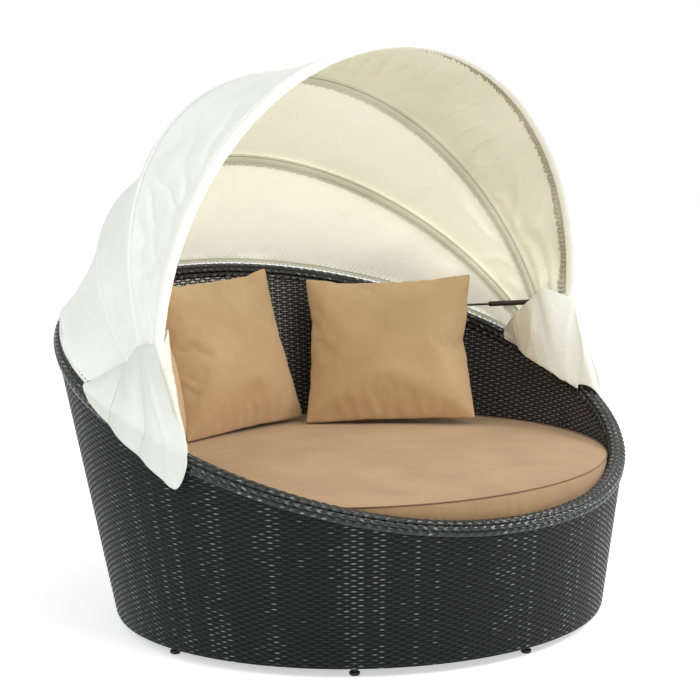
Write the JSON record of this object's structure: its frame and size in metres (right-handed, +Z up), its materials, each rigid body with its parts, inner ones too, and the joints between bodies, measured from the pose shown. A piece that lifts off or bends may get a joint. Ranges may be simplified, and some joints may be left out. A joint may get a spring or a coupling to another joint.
{
  "type": "outdoor daybed with canopy",
  "caption": "Round woven daybed with a high curved back, thick round mattress, loose pillows and a fold-back cloth canopy on hooped bows.",
  "frame": {"origin": "centre of the footprint, on the floor", "axes": "+Z up; -Y is the open low front; +X is to the right for someone who faces the front; X is the widest way and Y the shallowest"},
  "size_m": [1.6996, 1.481, 1.5783],
  "materials": {
    "weave": "satin flat-strip weave",
    "frame_metal": "satin powder coat",
    "glide_plastic": "matte",
    "socket_plastic": "matte",
    "cushion_fabric": "matte plain weave",
    "canopy_fabric": "matte, slightly see-through",
    "bow_metal": "satin",
    "strut_black": "semi-gloss",
    "strut_steel": "polished",
    "hardware": "plated"
  },
  "bodies": {
    "tub": {"base_ring": "frame_metal", "rim_ring": "frame_metal", "seat_ring": "frame_metal", "upright_right": "frame_metal", "upright_back_right": "frame_metal", "upright_back": "frame_metal", "upright_back_left": "frame_metal", "upright_left": "frame_metal", "upright_front_left": "frame_metal", "upright_front": "frame_metal", "upright_front_right": "frame_metal", "seat_bar_front": "frame_metal", "seat_bar_middle": "frame_metal", "seat_bar_rear": "frame_metal", "pivot_bracket_right": "frame_metal", "pivot_bracket_left": "frame_metal", "outer_weave": "weave", "inner_weave": "weave", "rim_braid": "weave", "seat_deck": "weave", "seat_mattress": "cushion_fabric", "pillow_right": "cushion_fabric", "pillow_left": "cushion_fabric", "pillow_side": "cushion_fabric", "foot_right": "glide_plastic", "foot_back_right": "glide_plastic", "foot_back": "glide_plastic", "foot_back_left": "glide_plastic", "foot_left": "glide_plastic", "foot_front_left": "glide_plastic", "foot_front": "glide_plastic", "foot_front_right": "glide_plastic", "pivot_bolt_right": "hardware", "pivot_bolt_left": "hardware", "pivot_nut_right": "hardware", "pivot_nut_left": "hardware", "canopy_rear": "canopy_fabric", "canopy_hem": "canopy_fabric", "side_cover_right": "canopy_fabric", "side_cover_left": "canopy_fabric", "strut_right_lug": "frame_metal", "strut_left_lug": "frame_metal", "strut_right_rod_ball": "hardware", "strut_left_rod_ball": "hardware"},
    "rear_bow": {"bow_rear": "bow_metal"},
    "middle_bow": {"bow_middle": "bow_metal", "canopy_middle": "canopy_fabric"},
    "front_bow": {"bow_front": "bow_metal", "canopy_front": "canopy_fabric"},
    "strut_rod_right": {"strut_right_rod": "strut_steel", "strut_right_rod_socket": "socket_plastic"},
    "strut_cylinder_right": {"strut_right_cylinder": "strut_black", "strut_right_cylinder_socket": "socket_plastic", "strut_right_cylinder_ball": "hardware"},
    "strut_rod_left": {"strut_left_rod": "strut_steel", "strut_left_rod_socket": "socket_plastic"},
    "strut_cylinder_left": {"strut_left_cylinder": "strut_black", "strut_left_cylinder_socket": "socket_plastic", "strut_left_cylinder_ball": "hardware"}
  },
  "joints": [
    {"name": "rear_bow_fold", "type": "hinge", "parent": "tub", "child": "rear_bow", "pos_m": [0, -0.12515, 0.625], "axis": [-1, 0, 0], "range_deg": [0, 16], "deforming": ["canopy_rear", "side_cover_right", "side_cover_left"]},
    {"name": "middle_bow_fold", "type": "hinge", "parent": "rear_bow", "child": "middle_bow", "pos_m": [0, -0.12515, 0.625], "axis": [-1, 0, 0], "range_deg": [0, 11], "deforming": ["canopy_middle"]},
    {"name": "front_bow_fold", "type": "hinge", "parent": "middle_bow", "child": "front_bow", "pos_m": [0, -0.12515, 0.625], "axis": [-1, 0, 0], "range_deg": [0, 8.5], "deforming": ["canopy_front"]},
    {"name": "strut_swing_right", "type": "hinge", "parent": "tub", "child": "strut_rod_right", "pos_m": [0.67976, 0.29885, 0.771], "axis": [0.9696, 0.0129, 0.2445], "range_deg": [0, 7.51]},
    {"name": "strut_slide_right", "type": "slide", "parent": "strut_rod_right", "child": "strut_cylinder_right", "axis": [-0.1165, 0.987, -0.1105], "range_m": [0, 0.10775]},
    {"name": "strut_swing_left", "type": "hinge", "parent": "tub", "child": "strut_rod_left", "pos_m": [-0.67976, 0.29885, 0.771], "axis": [0.9696, -0.0129, -0.2445], "range_deg": [0, 7.51]},
    {"name": "strut_slide_left", "type": "slide", "parent": "strut_rod_left", "child": "strut_cylinder_left", "axis": [0.1165, 0.987, -0.1105], "range_m": [0, 0.10775]}
  ],
  "couplings": [
    {"joint": "middle_bow_fold", "follows": "rear_bow_fold", "ratio": 0.6875},
    {"joint": "front_bow_fold", "follows": "rear_bow_fold", "ratio": 0.53125},
    {"joint": "strut_swing_right", "follows": "rear_bow_fold", "ratio": 0.46922},
    {"joint": "strut_slide_right", "follows": "rear_bow_fold", "m_per_rad": 0.38587},
    {"joint": "strut_swing_left", "follows": "rear_bow_fold", "ratio": 0.46922},
    {"joint": "strut_slide_left", "follows": "rear_bow_fold", "m_per_rad": 0.38587}
  ]
}
